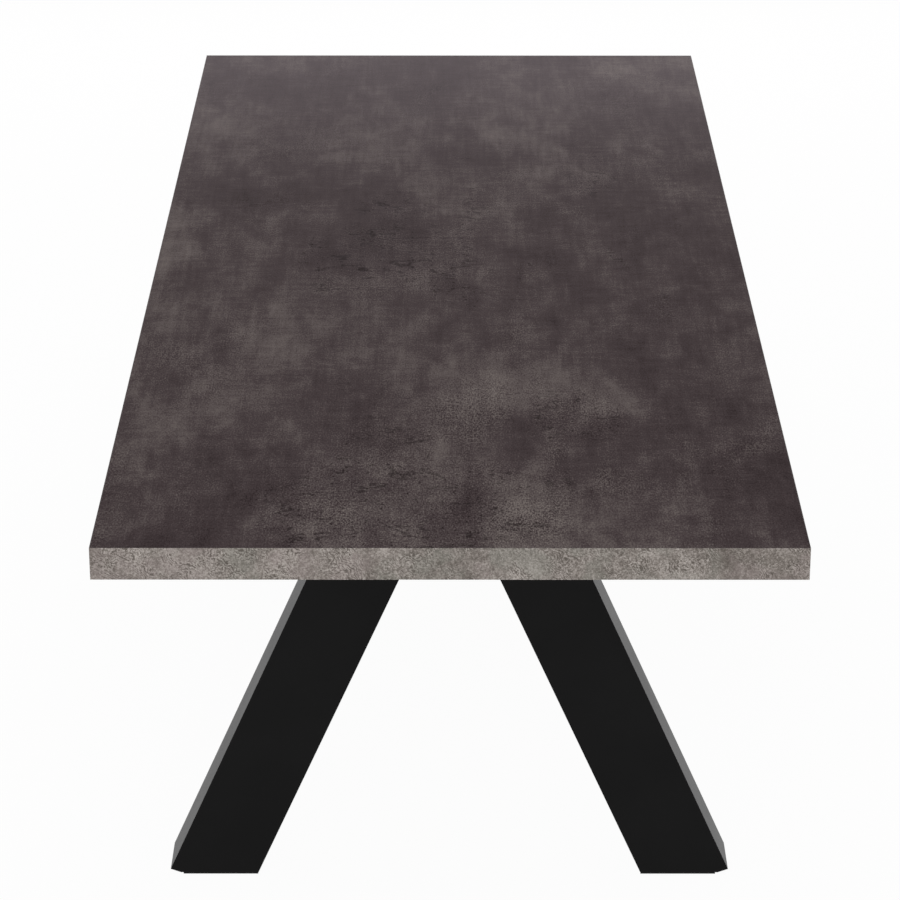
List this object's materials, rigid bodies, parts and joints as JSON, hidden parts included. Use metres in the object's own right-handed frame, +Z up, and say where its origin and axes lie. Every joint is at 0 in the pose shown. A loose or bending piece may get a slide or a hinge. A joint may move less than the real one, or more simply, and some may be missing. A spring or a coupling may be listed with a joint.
{
  "type": "extendable dining table",
  "caption": "Long concrete-look dining table on black inverted-V leg pairs, with pull-out rails at its ends and stowed leaves that extend it.",
  "frame": {"origin": "on the floor under the middle of the top", "axes": "+X across the table, +Y along the table away from the picture's camera, +Z up"},
  "size_m": [1, 2.5, 0.75],
  "materials": {
    "concrete_decor_top": "matt concrete-look laminate, dark warm grey, on fibreboard",
    "concrete_decor_edge": "matt concrete-look edge band, light warm grey",
    "backing_board": "plain dark backing on fibreboard",
    "core_wood": "raw particle board",
    "core_paper": "kraft paper honeycomb",
    "zinc_fasteners": "zinc plated",
    "black_lacquer": "matt black lacquer",
    "pale_nylon": "natural nylon",
    "zinc_sheet": "zinc plated sheet steel",
    "black_tube": "matt black powder coat",
    "black_plastic": "moulded, fine grain",
    "black_rubber": "matt",
    "grey_felt": "needle felt"
  },
  "bodies": {
    "table": {"bottom_skin": "backing_board", "core_end_rails": "core_wood", "core_side_rails": "core_wood", "edge_band_front": "concrete_decor_edge", "edge_band_left": "concrete_decor_edge", "edge_band_rear": "concrete_decor_edge", "edge_band_right": "concrete_decor_edge", "fixing_blocks": "core_wood", "foot_pads": "black_rubber", "guide_front_left": "zinc_sheet", "guide_front_right": "zinc_sheet", "guide_liners": "pale_nylon", "guide_rear_left": "zinc_sheet", "guide_rear_right": "zinc_sheet", "guide_screws": "zinc_fasteners", "hanger_felts": "grey_felt", "hanger_screws": "zinc_fasteners", "honeycomb_core": "core_paper", "leaf_hanger_front": "zinc_sheet", "leaf_hanger_rear": "zinc_sheet", "leaf_stops": "core_wood", "leg_front_left": "black_lacquer", "leg_front_right": "black_lacquer", "leg_head_plugs": "core_wood", "leg_plate_bolts": "zinc_fasteners", "leg_plate_front": "black_lacquer", "leg_plate_rear": "black_lacquer", "leg_plate_screws": "zinc_fasteners", "leg_rear_left": "black_lacquer", "leg_rear_right": "black_lacquer", "lock_bridges": "zinc_sheet", "stop_bridges": "zinc_sheet", "top_skin": "concrete_decor_top"},
    "front_rails": {"front_rail_left": "black_tube", "front_rail_right": "black_tube", "front_cross_bar": "black_tube", "front_tube_caps": "black_plastic", "front_rest_pads": "black_rubber", "front_stop_pins": "zinc_fasteners"},
    "rear_rails": {"rear_rail_left": "black_tube", "rear_rail_right": "black_tube", "rear_cross_bar": "black_tube", "rear_tube_caps": "black_plastic", "rear_rest_pads": "black_rubber", "rear_stop_pins": "zinc_fasteners"},
    "front_knob": {"front_knob_grip": "black_plastic", "front_knob_stud": "zinc_fasteners"},
    "rear_knob": {"rear_knob_grip": "black_plastic", "rear_knob_stud": "zinc_fasteners"},
    "leaf_left": {"leaf_left_bottom_skin": "backing_board", "leaf_left_core_frame": "core_wood", "leaf_left_edge_bands": "concrete_decor_edge", "leaf_left_rest_strips": "pale_nylon", "leaf_left_top_skin": "concrete_decor_top"},
    "leaf_right": {"leaf_right_bottom_skin": "backing_board", "leaf_right_core_frame": "core_wood", "leaf_right_edge_bands": "concrete_decor_edge", "leaf_right_rest_strips": "pale_nylon", "leaf_right_top_skin": "concrete_decor_top"}
  },
  "joints": [
    {"name": "front_rails_pull", "type": "slide", "parent": "table", "child": "front_rails", "axis": [0, -1, 0], "range_m": [0, 0.42]},
    {"name": "rear_rails_pull", "type": "slide", "parent": "table", "child": "rear_rails", "axis": [0, 1, 0], "range_m": [0, 0.42]},
    {"name": "front_knob_turn", "type": "hinge", "parent": "table", "child": "front_knob", "pos_m": [0.3, -1.015, 0.65], "axis": [0, 0, -1], "range_deg": [0, 180]},
    {"name": "rear_knob_turn", "type": "hinge", "parent": "table", "child": "rear_knob", "pos_m": [-0.3, 1.015, 0.65], "axis": [0, 0, -1], "range_deg": [0, 180]},
    {"name": "leaf_left_draw", "type": "slide", "parent": "table", "child": "leaf_left", "axis": [-1, 0, 0], "range_m": [0, 0.46]},
    {"name": "leaf_right_draw", "type": "slide", "parent": "table", "child": "leaf_right", "axis": [1, 0, 0], "range_m": [0, 0.46]}
  ]
}
